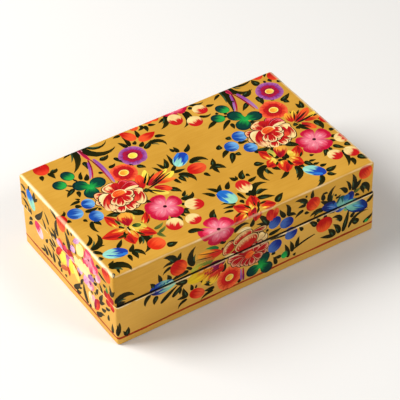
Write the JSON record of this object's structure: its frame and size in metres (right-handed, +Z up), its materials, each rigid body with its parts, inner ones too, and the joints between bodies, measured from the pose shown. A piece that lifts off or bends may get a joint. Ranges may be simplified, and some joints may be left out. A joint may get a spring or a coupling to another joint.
{
  "type": "papier-mache box",
  "caption": "Rectangular papier-mache keepsake box with a deep lift-off lid, painted with traditional flower sprays on a gold ground and lined with velvet.",
  "frame": {"origin": "centre of the flat underside of the base", "axes": "+X along the long side, -Y towards the front, +Z up through the lid"},
  "size_m": [0.1804, 0.1092, 0.052],
  "materials": {
    "painted_skin": "paper layers and chalk ground, gold paint, flowers in colour, clear gloss lacquer",
    "board_wood": "raw sawn softwood, dark lacquer on the rims",
    "neck_lacquer": "pressed pasteboard, black lacquer",
    "velvet": "short-pile velveteen on card",
    "nail_steel": "drawn wire"
  },
  "bodies": {
    "base": {"base_back_board": "board_wood", "base_floor_board": "board_wood", "base_floor_pad": "velvet", "base_front_board": "board_wood", "base_left_board": "board_wood", "base_nail_back_left_lower": "nail_steel", "base_nail_back_left_upper": "nail_steel", "base_nail_back_right_lower": "nail_steel", "base_nail_back_right_upper": "nail_steel", "base_nail_front_left_lower": "nail_steel", "base_nail_front_left_upper": "nail_steel", "base_nail_front_right_lower": "nail_steel", "base_nail_front_right_upper": "nail_steel", "base_right_board": "board_wood", "base_skin": "painted_skin", "base_wall_lining": "velvet", "neck_back": "neck_lacquer", "neck_front": "neck_lacquer", "neck_left": "neck_lacquer", "neck_right": "neck_lacquer"},
    "lid": {"lid_back_board": "board_wood", "lid_ceiling_pad": "velvet", "lid_front_board": "board_wood", "lid_left_board": "board_wood", "lid_nail_back_left_lower": "nail_steel", "lid_nail_back_left_upper": "nail_steel", "lid_nail_back_right_lower": "nail_steel", "lid_nail_back_right_upper": "nail_steel", "lid_nail_front_left_lower": "nail_steel", "lid_nail_front_left_upper": "nail_steel", "lid_nail_front_right_lower": "nail_steel", "lid_nail_front_right_upper": "nail_steel", "lid_right_board": "board_wood", "lid_skin": "painted_skin", "lid_top_board": "board_wood", "lid_wall_lining": "velvet"}
  },
  "joints": [
    {"name": "lid_lift", "type": "slide", "parent": "base", "child": "lid", "axis": [0, 0, 1], "range_m": [0, 0.09]}
  ]
}
